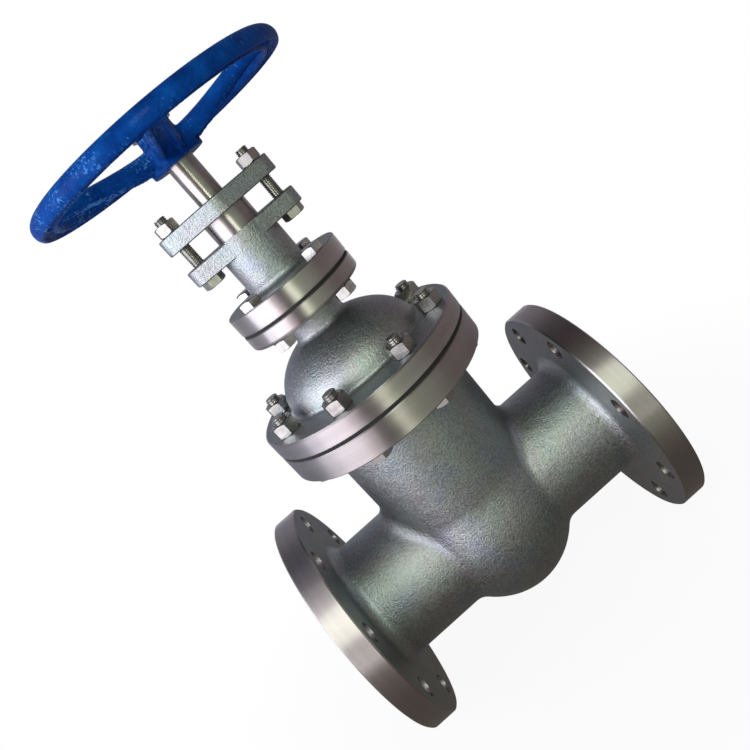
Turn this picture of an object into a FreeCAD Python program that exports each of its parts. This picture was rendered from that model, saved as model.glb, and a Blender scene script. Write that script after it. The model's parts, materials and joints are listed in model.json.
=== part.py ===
import FreeCAD, Part
import math
import os
from collections import namedtuple

# Wedge gate valve, DN100, flanged, with an inside screw and a stem that turns but doesn't rise.
# Millimetres. The pipe axis is X, the stem axis is Z with the handwheel up, and the two cross at
# the origin. The valve rests fully open, so the gate is drawn in its raised place.

Vector = FreeCAD.Vector
X_AXIS, Y_AXIS, Z_AXIS = Vector(1, 0, 0), Vector(0, 1, 0), Vector(0, 0, 1)
ORIGIN = Vector(0, 0, 0)

Thread = namedtuple("Thread", "radius across_flats head_height nut_height")
M10 = Thread(5.0, 16.0, 6.4, 8.4)
M12 = Thread(6.0, 18.0, 7.5, 10.8)
M14 = Thread(7.0, 21.0, 8.8, 12.8)

# Fits
BOLT_CLEARANCE = 0.75       # radial, bolt in its flange hole
RUNNING_CLEARANCE = 0.05    # radial, turning or sliding pieces
PASSING_CLEARANCE = 0.3     # radial, where the stem only passes through
THREAD_CLEARANCE = 0.05     # radial, stem or bolt in its nut
PRESS_CLEARANCE = 0.01      # radial, pieces pushed into the castings
SEATING_GAP = 0.05          # gate face to seat ring when shut
END_PLAY = 0.05             # each side of the stem's thrust collar

# Pipe ends
BORE_RADIUS = 50.0
FACE_TO_FACE = 300.0
PIPE_WALL = 5.5
END_FLANGE_RADIUS = 107.5
END_FLANGE_THICKNESS = 24.0     # raised face included
END_FLANGE_FILLET = 10.0
RAISED_FACE_MARGIN = 30.0       # flange rim to the rim of the raised face
RAISED_FACE_HEIGHT = 3.0
END_BOLT_COUNT = 8
END_BOLT_MARGIN = 17.5          # flange rim to the bolt circle
END_HOLE_RADIUS = 9.0

# Body casting
CHAMBER_MARGIN = 5.0        # chamber wall outside the gate's rim
CHAMBER_WALL = 6.0
BOWL_SWELL = 6.0            # bowl round the seats wider than the barrel, in radius
BOWL_DROP = 18.0            # bowl's bottom lower than the barrel's radius
WAIST_FILLET = 12.0         # between the bowl and the barrel
CROTCH_FILLET = 14.0        # between the pipe stubs and the barrel
BODY_FLANGE_THICKNESS = 22.0
COVER_BOLT_COUNT = 8
COVER_BOLT_OFFSET = 13.0    # bolt circle outside the barrel
COVER_BOLT_MARGIN = 16.0    # flange rim outside the bolt circle
COVER_FILLET = 2.4
RIM_CHAMFER = 1.2
FACE_CHAMFER = 0.8
GASKET_THICKNESS = 2.0
GASKET_INSET = 0.6          # gasket edge inside the flange rim
GASKET_LIP = 2.5            # gasket hole outside the room that it seals

# Seats and gate
SEAT_TAPER = 5.0            # degrees, each side
SEAT_WIDTH = 4.0
SEAT_FACE_X = 22.0          # seat face from the stem axis, at the pipe axis
SEAT_PROUD = 5.0            # seat face inside the cavity's wall
SEAT_SINK = 4.0             # seat ring's depth in that wall
CAVITY_SHOULDER_RISE = 8.0  # from the seats' top to where the narrow cavity opens out
GATE_RECESS = 2.0
GATE_RING_WIDTH = 8.0
GATE_TOP_CLEARANCE = 0.5    # raised gate's rim below the body's top face
GUIDE_RIB_WIDTH = 9.0
GUIDE_RIB_BITE = 2.8        # rib's depth in the gate's rim
GUIDE_RIB_BOTTOM = -30.0
GUIDE_RIB_DROP = 9.5        # rib's top below the body's top face
GUIDE_CLEARANCE = 0.6
GATE_BOSS_WALL_X = 2.0      # outside the stem nut
GATE_BOSS_WALL_Y = 7.0
GATE_BOSS_FILLET = 7.0
GATE_BRIDGE = 10.0          # metal over the stem nut
GATE_FLOOR = 3.5            # metal under the stem hole
STEM_HOLE_CLEARANCE = 1.0   # radial, screw in the gate
LIFT_MARGIN = 5.0           # travel beyond the bore's height, 21 turns of a 5 mm screw in all

# Stem and its nut
SCREW_RADIUS = 12.0
STEM_STEP = 1.0             # stem thinner than its screw, in radius
STEM_END_BELOW = 1.0        # stem's foot under the nut, gate shut
STEM_NUT_RISE = 4.0         # nut's foot above the gate's sealing rings
STEM_NUT_HEIGHT = 26.0
STEM_NUT_WALL_X = 5.0
STEM_NUT_WALL_Y = 4.0
NUT_WINDOW_CLEARANCE = 0.1
COLLAR_STEP = 6.0           # thrust collar wider than the screw, in radius
COLLAR_RECESS_CLEARANCE = 0.5
COLLAR_SEAT_DEPTH = 6.0     # recess in the bonnet's top face
COLLAR_TOP_DEPTH = 5.0      # recess in the stuffing box's lower face
THRUST_WASHER_THICKNESS = 2.0

# Bonnet
BONNET_FLANGE_THICKNESS = 16.0
DOME_STEP = 1.5             # dome smaller than the barrel, in radius
DOME_HEIGHT = 42.5          # above the bonnet's flange
DOME_FILLET = 3.5
NECK_STEP = 2.5             # neck thinner than the stuffing box, in radius
NECK_HEIGHT = 15.5          # dome's crown to the top flange
NECK_FILLET = 6.0
TOP_FLANGE_THICKNESS = 13.0
TOP_FLANGE_FILLET = 5.0
TOP_FLANGE_ROUNDING = 3.5   # cast lower edge
TOP_BOLT_COUNT = 4
TOP_BOLT_OFFSET = 15.5      # bolt circle outside the stuffing box
TOP_BOLT_MARGIN = 11.0      # flange rim outside the bolt circle
TOP_BOLT_END_OUT = 0.8      # bolt end proud of its nut
BUSH_WALL = 4.0
BUSH_LENGTH = 30.0

# Stuffing box and gland
PACKING_RING_COUNT = 5
PACKING_SIZE = 8.0          # square section
PACKING_FLOOR = 13.5        # above the stuffing box's lower face
BOX_WALL = 6.4
BOX_FLANGE_THICKNESS = 16.0
BOX_FILLET = 6.0
EAR_DROP = 5.0              # ears' underside below the packing's top
EAR_PLATE_THICKNESS = 13.0
EAR_TIP_RADIUS = 12.0
EAR_CORNER_RADIUS = 8.0
EAR_CORNER_STEP = 0.5       # front corner outside the stuffing box
GLAND_BOLT_OFFSET = 13.7    # bolts outside the stuffing box
GLAND_GAP = 16.0            # between the two eared plates
GLAND_PLATE_THICKNESS = 13.5
GLAND_CORNER_RADIUS = 14.0
GLAND_CORNER_STEP = 2.0
GLAND_WALL_CLEARANCE = 0.1
BOLT_END_OUT = 4.5          # other bolts' ends proud of their nuts
GLAND_HEX_TURN = 30.0       # degrees, gland bolts and nuts have a flat to the front

# Handwheel
HUB_GAP = 32.5              # hub above the gland plate
HUB_HEIGHT = 28.0
HUB_WALL = 11.5
HUB_CHAMFER = 2.0
HUB_FIT = 0.02
RIM_OUTER_RADIUS = 110.5
RIM_SECTION_RADIUS = 8.3
RIM_RISE = 22.0             # rim's middle above the hub's lower face
SPOKE_COUNT = 5
SPOKE_AZIMUTH = -88.0       # of the first spoke, from +X
SPOKE_ROOT_RISE = 11.0      # spoke's middle above the hub's lower face
SPOKE_ROOT_HALF_WIDTH = 11.0
SPOKE_ROOT_HALF_HEIGHT = 8.5
SPOKE_TIP_HALF_WIDTH = 8.8
SPOKE_TIP_HALF_HEIGHT = 6.4
SPOKE_SECTION_COUNT = 5     # ovals that each spoke is drawn through
KEY_WIDTH = 6.0
KEY_HEIGHT = 6.0
KEY_LENGTH = 22.0
KEY_SINK = 3.4              # key's depth in the stem
KEY_CLEARANCE = 0.2
WHEEL_WASHER_RADIUS = 17.0
WHEEL_WASHER_THICKNESS = 3.0
STEM_SHOULDER_DROP = 0.5    # shoulder below the hub's top, so that the nut clamps the hub
STEM_END_OUT = 2.0          # stem's end proud of the wheel nut

# Worked out from the sizes above: pipe, body and gate
STUB_RADIUS = BORE_RADIUS + PIPE_WALL
RAISED_FACE_RADIUS = END_FLANGE_RADIUS - RAISED_FACE_MARGIN
END_BOLT_RADIUS = END_FLANGE_RADIUS - END_BOLT_MARGIN
SEAT_RADIUS = BORE_RADIUS + SEAT_WIDTH
CAVITY_WALL_X = SEAT_FACE_X + SEAT_PROUD
SEAT_BACK_X = CAVITY_WALL_X + SEAT_SINK
CAVITY_SHOULDER = SEAT_RADIUS + CAVITY_SHOULDER_RISE
CHAMBER_RADIUS = SEAT_RADIUS + CHAMBER_MARGIN
BARREL_RADIUS = CHAMBER_RADIUS + CHAMBER_WALL
BOWL_RADIUS = BARREL_RADIUS + BOWL_SWELL
BOWL_DEPTH = BARREL_RADIUS + BOWL_DROP
BOWL_ROOM_RADIUS = BOWL_RADIUS - CHAMBER_WALL
BOWL_ROOM_DEPTH = BOWL_DEPTH - CHAMBER_WALL
COVER_BOLT_RADIUS = BARREL_RADIUS + COVER_BOLT_OFFSET
COVER_RADIUS = COVER_BOLT_RADIUS + COVER_BOLT_MARGIN
LIFT = 2 * BORE_RADIUS + LIFT_MARGIN
BODY_TOP = LIFT + SEAT_RADIUS + GATE_TOP_CLEARANCE
BODY_FLANGE_UNDERSIDE = BODY_TOP - BODY_FLANGE_THICKNESS
GUIDE_RIB_TIP = SEAT_RADIUS - GUIDE_RIB_BITE
STEM_NUT_FOOT = SEAT_RADIUS + STEM_NUT_RISE     # gate shut
STEM_NUT_TOP = STEM_NUT_FOOT + STEM_NUT_HEIGHT
STEM_NUT_HALF_X = SCREW_RADIUS + STEM_NUT_WALL_X
STEM_NUT_HALF_Y = SCREW_RADIUS + STEM_NUT_WALL_Y
GATE_BOSS_TOP = STEM_NUT_TOP + GATE_BRIDGE

# Worked out: stem, packing and bonnet
STEM_FOOT = STEM_NUT_FOOT - STEM_END_BELOW
STEM_RADIUS = SCREW_RADIUS - STEM_STEP
COLLAR_RADIUS = SCREW_RADIUS + COLLAR_STEP
COLLAR_RECESS_RADIUS = COLLAR_RADIUS + COLLAR_RECESS_CLEARANCE
PACKING_CHAMBER_RADIUS = STEM_RADIUS + PACKING_SIZE + 2 * RUNNING_CLEARANCE
BOX_RADIUS = PACKING_CHAMBER_RADIUS + BOX_WALL
NECK_RADIUS = BOX_RADIUS - NECK_STEP
TOP_BOLT_RADIUS = BOX_RADIUS + TOP_BOLT_OFFSET
TOP_FLANGE_RADIUS = TOP_BOLT_RADIUS + TOP_BOLT_MARGIN
BUSH_RADIUS = SCREW_RADIUS + RUNNING_CLEARANCE + BUSH_WALL
BONNET_BASE = BODY_TOP + GASKET_THICKNESS
COVER_NUT_SEAT = BONNET_BASE + BONNET_FLANGE_THICKNESS
DOME_RADIUS = BARREL_RADIUS - DOME_STEP
TOP_FLANGE_UNDERSIDE = COVER_NUT_SEAT + DOME_HEIGHT + NECK_HEIGHT
TOP_JOINT = TOP_FLANGE_UNDERSIDE + TOP_FLANGE_THICKNESS
COLLAR_SEAT = TOP_JOINT - COLLAR_SEAT_DEPTH
COLLAR_FOOT = COLLAR_SEAT + THRUST_WASHER_THICKNESS + END_PLAY

# Worked out: stuffing box, gland and wheel, each above the last
BOX_BASE = TOP_JOINT + GASKET_THICKNESS
BOX_FLANGE_TOP = BOX_BASE + BOX_FLANGE_THICKNESS
UPPER_WASHER_FOOT = BOX_BASE + COLLAR_TOP_DEPTH - THRUST_WASHER_THICKNESS
COLLAR_TOP = UPPER_WASHER_FOOT - END_PLAY
PACKING_BASE = BOX_BASE + PACKING_FLOOR
PACKING_TOP = PACKING_BASE + PACKING_RING_COUNT * PACKING_SIZE
EAR_PLATE_UNDERSIDE = PACKING_TOP - EAR_DROP
EAR_PLATE_TOP = EAR_PLATE_UNDERSIDE + EAR_PLATE_THICKNESS
GLAND_BOLT_X = BOX_RADIUS + GLAND_BOLT_OFFSET
GLAND_PLATE_UNDERSIDE = EAR_PLATE_TOP + GLAND_GAP
GLAND_PLATE_TOP = GLAND_PLATE_UNDERSIDE + GLAND_PLATE_THICKNESS
HUB_UNDERSIDE = GLAND_PLATE_TOP + HUB_GAP
HUB_TOP = HUB_UNDERSIDE + HUB_HEIGHT
HUB_RADIUS = STEM_RADIUS + HUB_WALL
RIM_HEIGHT = HUB_UNDERSIDE + RIM_RISE
RIM_MIDDLE_RADIUS = RIM_OUTER_RADIUS - RIM_SECTION_RADIUS
KEY_FOOT = HUB_UNDERSIDE + (HUB_HEIGHT - KEY_LENGTH) / 2
STEM_SHOULDER = HUB_TOP - STEM_SHOULDER_DROP
WHEEL_NUT_FOOT = HUB_TOP + WHEEL_WASHER_THICKNESS
STEM_TOP = WHEEL_NUT_FOOT + M14.nut_height + STEM_END_OUT

FAR = 400.0                 # longer than any casting, for cutting tools
TOUCH = 0.01                # edges this near a surface lie on it


def tube(outer, inner, low, high, axis=Z_AXIS):
    """A ring about an axis through the origin, from low to high along it."""
    solid = Part.makeCylinder(outer, high - low, axis * low, axis)
    return solid.cut(Part.makeCylinder(inner, high - low, axis * low, axis))


def disc(radius, low, high, axis=Z_AXIS):
    return Part.makeCylinder(radius, high - low, axis * low, axis)


def chamfered_disc(radius, low, high, chamfer, axis=Z_AXIS):
    """A flange blank with both rim edges broken."""
    blank = disc(radius, low, high, axis)
    corners = circle_edges(blank, radius, low, axis) + circle_edges(blank, radius, high, axis)
    return blank.makeChamfer(chamfer, corners)


def block(half_x, half_y, low, high):
    return Part.makeBox(2 * half_x, 2 * half_y, high - low, Vector(-half_x, -half_y, low))


def drawn_edges(shape):
    """Edges with a length, so not the poles of round faces."""
    return [edge for edge in shape.Edges if not edge.Degenerated]


def circle_edges(shape, radius, place, axis=Z_AXIS):
    """Round edges of one radius about the axis, at one place along it."""
    found = []
    for edge in drawn_edges(shape):
        points = edge.discretize(5)
        level = all(abs(point.dot(axis) - place) < TOUCH for point in points)
        if level and all(abs(point.cross(axis).Length - radius) < TOUCH for point in points):
            found.append(edge)
    return found


def ball(radius, height, centre):
    """A ball on the stem axis, drawn out or pressed down to its own half height."""
    middle = Z_AXIS * centre
    tip, side = middle + Z_AXIS * height, middle + X_AXIS * radius
    if height > radius:
        half = Part.Arc(Part.Ellipse(tip, side, middle), 0, math.pi)
    else:
        half = Part.Arc(Part.Ellipse(side, tip, middle), -math.pi / 2, math.pi / 2)
    outline = Part.Wire([half.toShape(), Part.makeLine(half.EndPoint, half.StartPoint)])
    return Part.Face(outline).revolve(middle, Z_AXIS, 360)


def bolt_places(count, radius):
    """Places on a circle, half a step off the first axis."""
    places = []
    for index in range(count):
        angle = 2 * math.pi * (index + 0.5) / count
        places.append((radius * math.cos(angle), radius * math.sin(angle)))
    return places


END_BOLTS = bolt_places(END_BOLT_COUNT, END_BOLT_RADIUS)
COVER_BOLTS = bolt_places(COVER_BOLT_COUNT, COVER_BOLT_RADIUS)
TOP_BOLTS = bolt_places(TOP_BOLT_COUNT, TOP_BOLT_RADIUS)
GLAND_BOLTS = [(-GLAND_BOLT_X, 0.0), (GLAND_BOLT_X, 0.0)]


def holes(places, thread, low, high):
    """Clearance holes for bolts, as one cutting tool."""
    radius = thread.radius + BOLT_CLEARANCE
    drills = [Part.makeCylinder(radius, high - low, Vector(x, y, low)) for x, y in places]
    return Part.makeCompound(drills)


def hexagon(thread, x, y, low, high, turn):
    """Nut blank or bolt head, turned in degrees from having a corner to the front."""
    corner = thread.across_flats / 2 / math.cos(math.radians(30))
    points = []
    for index in range(7):
        angle = math.radians(60 * index + 30 + turn)
        points.append(Vector(x + corner * math.cos(angle), y + corner * math.sin(angle), low))
    face = Part.Face(Part.makePolygon(points))
    return face.extrude(Z_AXIS * (high - low))


def bolts(places, thread, bearing, end, turn=0.0):
    """Hexagon bolts. The head bears at one height and the shank runs to the other."""
    low, high = sorted((bearing, end))
    up = end > bearing
    head = (bearing - thread.head_height, bearing) if up else (bearing, bearing + thread.head_height)
    solids = []
    for x, y in places:
        shank = Part.makeCylinder(thread.radius, high - low, Vector(x, y, low))
        solids.append(hexagon(thread, x, y, *head, turn).fuse(shank).removeSplitter())
    return Part.makeCompound(solids)


def nuts(places, thread, low, turn=0.0):
    solids = []
    for x, y in places:
        blank = hexagon(thread, x, y, low, low + thread.nut_height, turn)
        bore = Part.makeCylinder(
            thread.radius + THREAD_CLEARANCE, thread.nut_height, Vector(x, y, low)
        )
        solids.append(blank.cut(bore))
    return Part.makeCompound(solids)


def taper_slab(half_width):
    """The space between two planes that lean outwards with the seats."""
    lean = math.tan(math.radians(SEAT_TAPER))
    reach = FAR / 4
    points = []
    for x_side, z in ((-1, -reach), (1, -reach), (1, reach), (-1, reach), (-1, -reach)):
        points.append(Vector(x_side * (half_width + z * lean), -reach, z))
    return Part.Face(Part.makePolygon(points)).extrude(Y_AXIS * 2 * reach)


def body_outside():
    """Barrel, bowl, pipe stubs and flanges, with the cast fillets."""
    chamber = ball(BOWL_RADIUS, BOWL_DEPTH, 0).fuse(disc(BARREL_RADIUS, 0, BODY_TOP))
    chamber = chamber.removeSplitter()
    waist = BOWL_DEPTH * math.sqrt(1 - (BARREL_RADIUS / BOWL_RADIUS) ** 2)
    chamber = chamber.makeFillet(WAIST_FILLET, circle_edges(chamber, BARREL_RADIUS, waist))
    half = FACE_TO_FACE / 2
    back = half - END_FLANGE_THICKNESS
    front = half - RAISED_FACE_HEIGHT
    shell = chamber.fuse(disc(STUB_RADIUS, -half, half, X_AXIS))
    shell = shell.makeFillet(CROTCH_FILLET, [e for e in drawn_edges(shell) if in_crotch(e)])
    for side in (-1, 1):
        low, high = sorted((side * back, side * front))
        rim = chamfered_disc(END_FLANGE_RADIUS, low, high, RIM_CHAMFER, X_AXIS)
        low, high = sorted((side * front, side * half))
        shell = shell.fuse([rim, disc(RAISED_FACE_RADIUS, low, high, X_AXIS)])
    shell = shell.removeSplitter()
    for side in (-1, 1):
        root = circle_edges(shell, STUB_RADIUS, side * back, X_AXIS)
        shell = shell.makeFillet(END_FLANGE_FILLET, root)
    cover = chamfered_disc(COVER_RADIUS, BODY_FLANGE_UNDERSIDE, BODY_TOP, RIM_CHAMFER)
    shell = shell.fuse(cover).removeSplitter()
    root = circle_edges(shell, BARREL_RADIUS, BODY_FLANGE_UNDERSIDE)
    return shell.makeFillet(COVER_FILLET, root)


def in_crotch(edge):
    """Whether an edge runs where a pipe stub meets the chamber."""
    points = edge.discretize(7)
    on_stub = all(abs(point.cross(X_AXIS).Length - STUB_RADIUS) < TOUCH for point in points)
    return on_stub and max(abs(point.x) for point in points) < BOWL_RADIUS


def cavity():
    """The gate's room: narrow between the seats, round above them."""
    round_room = ball(BOWL_ROOM_RADIUS, BOWL_ROOM_DEPTH, 0)
    round_room = round_room.fuse(disc(CHAMBER_RADIUS, 0, BODY_TOP))
    lean = math.tan(math.radians(SEAT_TAPER))
    shoulder = CAVITY_WALL_X + CAVITY_SHOULDER * lean
    open_height = CAVITY_SHOULDER + CHAMBER_RADIUS - shoulder
    side = [
        (CAVITY_WALL_X - BOWL_ROOM_DEPTH * lean, -BOWL_ROOM_DEPTH),
        (shoulder, CAVITY_SHOULDER),
        (CHAMBER_RADIUS, open_height),
        (CHAMBER_RADIUS, BODY_TOP),
    ]
    outline = side + [(-x, z) for x, z in reversed(side)]
    points = [Vector(x, -BOWL_ROOM_RADIUS, z) for x, z in outline + outline[:1]]
    narrow = Part.Face(Part.makePolygon(points)).extrude(Y_AXIS * 2 * BOWL_ROOM_RADIUS)
    return round_room.common(narrow)


def end_holes():
    """Bolt holes of both pipe flanges."""
    drills = []
    for y, z in END_BOLTS:
        for low in (-FACE_TO_FACE / 2, FACE_TO_FACE / 2 - END_FLANGE_THICKNESS):
            foot = Vector(low, y, z)
            drills.append(Part.makeCylinder(END_HOLE_RADIUS, END_FLANGE_THICKNESS, foot, X_AXIS))
    return Part.makeCompound(drills)


def valve_body():
    outside = body_outside()
    shape = outside.cut(cavity())
    shape = shape.cut(disc(BORE_RADIUS, -FAR / 2, FAR / 2, X_AXIS))
    pockets = disc(SEAT_RADIUS, -CHAMBER_RADIUS, CHAMBER_RADIUS, X_AXIS)
    shape = shape.cut(pockets.common(taper_slab(SEAT_BACK_X)))
    shape = shape.cut(end_holes())
    shape = shape.cut(holes(COVER_BOLTS, M12, BODY_FLANGE_UNDERSIDE, BODY_TOP))
    rib_height = BODY_TOP - GUIDE_RIB_DROP - GUIDE_RIB_BOTTOM
    for side in (-1, 1):
        low, high = sorted((side * GUIDE_RIB_TIP, side * BOWL_RADIUS))
        foot = Vector(-GUIDE_RIB_WIDTH / 2, low, GUIDE_RIB_BOTTOM)
        rib = Part.makeBox(GUIDE_RIB_WIDTH, high - low, rib_height, foot)
        shape = shape.fuse(rib.common(outside))
    return shape.removeSplitter()


def seat_ring(side):
    """One seat ring, pushed into its pocket. Its face and back lean with the gate."""
    ring = tube(SEAT_RADIUS - PRESS_CLEARANCE, BORE_RADIUS, 0, CHAMBER_RADIUS, X_AXIS * side)
    return ring.common(taper_slab(SEAT_BACK_X)).cut(taper_slab(SEAT_FACE_X))


def gate_wedge():
    """Solid wedge with raised sealing rings, guide grooves and the stem nut's window."""
    thick = disc(SEAT_RADIUS, -CHAMBER_RADIUS, CHAMBER_RADIUS, X_AXIS)
    sealing = thick.common(taper_slab(SEAT_FACE_X - SEATING_GAP))
    recess = disc(SEAT_RADIUS - GATE_RING_WIDTH, -CHAMBER_RADIUS, CHAMBER_RADIUS, X_AXIS)
    recess = recess.cut(taper_slab(SEAT_FACE_X - SEATING_GAP - GATE_RECESS))
    boss = block(
        STEM_NUT_HALF_X + GATE_BOSS_WALL_X, STEM_NUT_HALF_Y + GATE_BOSS_WALL_Y,
        SEAT_RADIUS / 2, GATE_BOSS_TOP,
    )
    corners = [e for e in boss.Edges if abs(e.tangentAt(e.FirstParameter).z) > 0.99]
    boss = boss.makeFillet(GATE_BOSS_FILLET, corners)
    shape = sealing.cut(recess).fuse(boss)
    window = block(
        CHAMBER_RADIUS, STEM_NUT_HALF_Y + NUT_WINDOW_CLEARANCE,
        STEM_NUT_FOOT - NUT_WINDOW_CLEARANCE, STEM_NUT_TOP + NUT_WINDOW_CLEARANCE,
    )
    hole_radius = SCREW_RADIUS + STEM_HOLE_CLEARANCE
    stem_hole = disc(hole_radius, GATE_FLOOR - SEAT_RADIUS, GATE_BOSS_TOP)
    shape = shape.cut([window, stem_hole])
    width = GUIDE_RIB_WIDTH + 2 * GUIDE_CLEARANCE
    for side in (-1, 1):
        low, high = sorted((side * (GUIDE_RIB_TIP - GUIDE_CLEARANCE), side * CHAMBER_RADIUS))
        foot = Vector(-width / 2, low, -SEAT_RADIUS)
        shape = shape.cut(Part.makeBox(width, high - low, 2 * SEAT_RADIUS, foot))
    return raised(shape.removeSplitter())


def raised(shape):
    """The same shape in its place with the valve open."""
    return shape.translated(Z_AXIS * LIFT)


def stem_nut():
    nut = block(STEM_NUT_HALF_X, STEM_NUT_HALF_Y, STEM_NUT_FOOT, STEM_NUT_TOP)
    return raised(nut.cut(disc(SCREW_RADIUS + THREAD_CLEARANCE, STEM_NUT_FOOT, STEM_NUT_TOP)))


def key_block(clearance=0.0):
    """The wheel's key, or with a clearance the space that it needs."""
    width = KEY_WIDTH + 2 * clearance
    foot = Vector(-width / 2, STEM_RADIUS - KEY_SINK - clearance, KEY_FOOT - clearance)
    return Part.makeBox(width, KEY_HEIGHT + 2 * clearance, KEY_LENGTH + 2 * clearance, foot)


def stem():
    """Left-hand screw below, thrust collar in the middle, handwheel seat on top."""
    shape = disc(SCREW_RADIUS, STEM_FOOT, COLLAR_FOOT).fuse([
        disc(COLLAR_RADIUS, COLLAR_FOOT, COLLAR_TOP),
        disc(STEM_RADIUS, COLLAR_TOP, STEM_SHOULDER),
        disc(M14.radius, STEM_SHOULDER, STEM_TOP),
    ])
    return shape.removeSplitter().cut(key_block())


def bonnet():
    """Domed cover with a neck and a small top flange, hollow under the dome."""
    flange = chamfered_disc(COVER_RADIUS, BONNET_BASE, COVER_NUT_SEAT, RIM_CHAMFER)
    dome = ball(DOME_RADIUS, DOME_HEIGHT, COVER_NUT_SEAT)
    dome = dome.common(disc(COVER_RADIUS, COVER_NUT_SEAT, FAR))
    shape = dome.fuse([flange, disc(NECK_RADIUS, COVER_NUT_SEAT, TOP_JOINT)]).removeSplitter()
    crown = COVER_NUT_SEAT + DOME_HEIGHT * math.sqrt(1 - (NECK_RADIUS / DOME_RADIUS) ** 2)
    shape = shape.makeFillet(NECK_FILLET, circle_edges(shape, NECK_RADIUS, crown))
    shape = shape.makeFillet(DOME_FILLET, circle_edges(shape, DOME_RADIUS, COVER_NUT_SEAT))
    head = disc(TOP_FLANGE_RADIUS, TOP_FLANGE_UNDERSIDE, TOP_JOINT)
    lower_edge = circle_edges(head, TOP_FLANGE_RADIUS, TOP_FLANGE_UNDERSIDE)
    head = head.makeFillet(TOP_FLANGE_ROUNDING, lower_edge)
    head = head.makeChamfer(FACE_CHAMFER, circle_edges(head, TOP_FLANGE_RADIUS, TOP_JOINT))
    shape = shape.fuse(head).removeSplitter()
    root = circle_edges(shape, NECK_RADIUS, TOP_FLANGE_UNDERSIDE)
    shape = shape.makeFillet(TOP_FLANGE_FILLET, root)
    room_radius = DOME_RADIUS - CHAMBER_WALL
    room = ball(room_radius, DOME_HEIGHT - CHAMBER_WALL, COVER_NUT_SEAT)
    room = room.common(disc(DOME_RADIUS, COVER_NUT_SEAT, FAR))
    shape = shape.cut([
        room.fuse(disc(room_radius, BONNET_BASE, COVER_NUT_SEAT)),
        disc(BUSH_RADIUS, COVER_NUT_SEAT, TOP_JOINT),
        disc(COLLAR_RECESS_RADIUS, COLLAR_SEAT, TOP_JOINT),
    ])
    shape = shape.cut(holes(COVER_BOLTS, M12, BONNET_BASE, COVER_NUT_SEAT))
    return shape.cut(holes(TOP_BOLTS, M10, TOP_FLANGE_UNDERSIDE, TOP_JOINT))


def bonnet_bush():
    inner = SCREW_RADIUS + RUNNING_CLEARANCE
    return tube(BUSH_RADIUS - PRESS_CLEARANCE, inner, COLLAR_SEAT - BUSH_LENGTH, COLLAR_SEAT)


def thrust_washer(low, stem_radius):
    return tube(COLLAR_RADIUS, stem_radius + RUNNING_CLEARANCE, low, low + THRUST_WASHER_THICKNESS)


def gasket(radius, room_radius, low, places, thread):
    """Flat ring between two flanges, outside the room that it seals."""
    high = low + GASKET_THICKNESS
    ring = tube(radius - GASKET_INSET, room_radius + GASKET_LIP, low, high)
    return ring.cut(holes(places, thread, low, high))


def eared_plate(low, high, reach, corner_radius):
    """Rhombic plate: round tips over the gland bolts, round corners in front and behind."""
    corner = Vector(0, reach - corner_radius, low)
    tip = Vector(GLAND_BOLT_X, 0, low)
    span = tip - corner
    lean = math.asin((corner_radius - EAR_TIP_RADIUS) / span.Length)
    angle = math.atan2(span.y, span.x) + math.pi / 2 - lean
    outward = Vector(math.cos(angle), math.sin(angle), 0)
    corner_end = corner + outward * corner_radius
    tip_end = tip + outward * EAR_TIP_RADIUS

    def flip(point, x_side, y_side):
        return Vector(point.x * x_side, point.y * y_side, low)

    edges = []
    for side in (-1, 1):
        for y_side in (-1, 1):
            edges.append(
                Part.makeLine(flip(corner_end, side, y_side), flip(tip_end, side, y_side))
            )
        tip_out = Vector(side * (GLAND_BOLT_X + EAR_TIP_RADIUS), 0, low)
        corner_out = Vector(0, side * reach, low)
        edges.append(
            Part.Arc(flip(tip_end, side, 1), tip_out, flip(tip_end, side, -1)).toShape()
        )
        edges.append(
            Part.Arc(flip(corner_end, -1, side), corner_out, flip(corner_end, 1, side)).toShape()
        )
    outline = Part.Wire(Part.__sortEdges__(edges))
    plate = Part.Face(outline).extrude(Z_AXIS * (high - low))
    rims = [edge for edge in plate.Edges if edge.BoundBox.ZLength < FACE_CHAMFER]
    return plate.makeChamfer(FACE_CHAMFER, rims)


def stuffing_box():
    """Flanged neck round the packing, with an eared plate for the gland bolts."""
    flange = chamfered_disc(TOP_FLANGE_RADIUS, BOX_BASE, BOX_FLANGE_TOP, FACE_CHAMFER)
    shape = flange.fuse(disc(BOX_RADIUS, BOX_BASE, EAR_PLATE_TOP)).removeSplitter()
    shape = shape.makeFillet(BOX_FILLET, circle_edges(shape, BOX_RADIUS, BOX_FLANGE_TOP))
    ears = eared_plate(
        EAR_PLATE_UNDERSIDE, EAR_PLATE_TOP, BOX_RADIUS + EAR_CORNER_STEP, EAR_CORNER_RADIUS
    )
    shape = shape.fuse(ears).removeSplitter()
    shape = shape.cut([
        disc(COLLAR_RECESS_RADIUS, BOX_BASE, BOX_BASE + COLLAR_TOP_DEPTH),
        disc(STEM_RADIUS + PASSING_CLEARANCE, BOX_BASE, EAR_PLATE_TOP),
        disc(PACKING_CHAMBER_RADIUS, PACKING_BASE, EAR_PLATE_TOP),
    ])
    shape = shape.cut(holes(TOP_BOLTS, M10, BOX_BASE, BOX_FLANGE_TOP))
    return shape.cut(holes(GLAND_BOLTS, M10, EAR_PLATE_UNDERSIDE, EAR_PLATE_TOP))


def packing_rings():
    inner = STEM_RADIUS + RUNNING_CLEARANCE
    rings = []
    for index in range(PACKING_RING_COUNT):
        low = PACKING_BASE + index * PACKING_SIZE
        rings.append(tube(inner + PACKING_SIZE, inner, low, low + PACKING_SIZE))
    return Part.makeCompound(rings)


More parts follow.
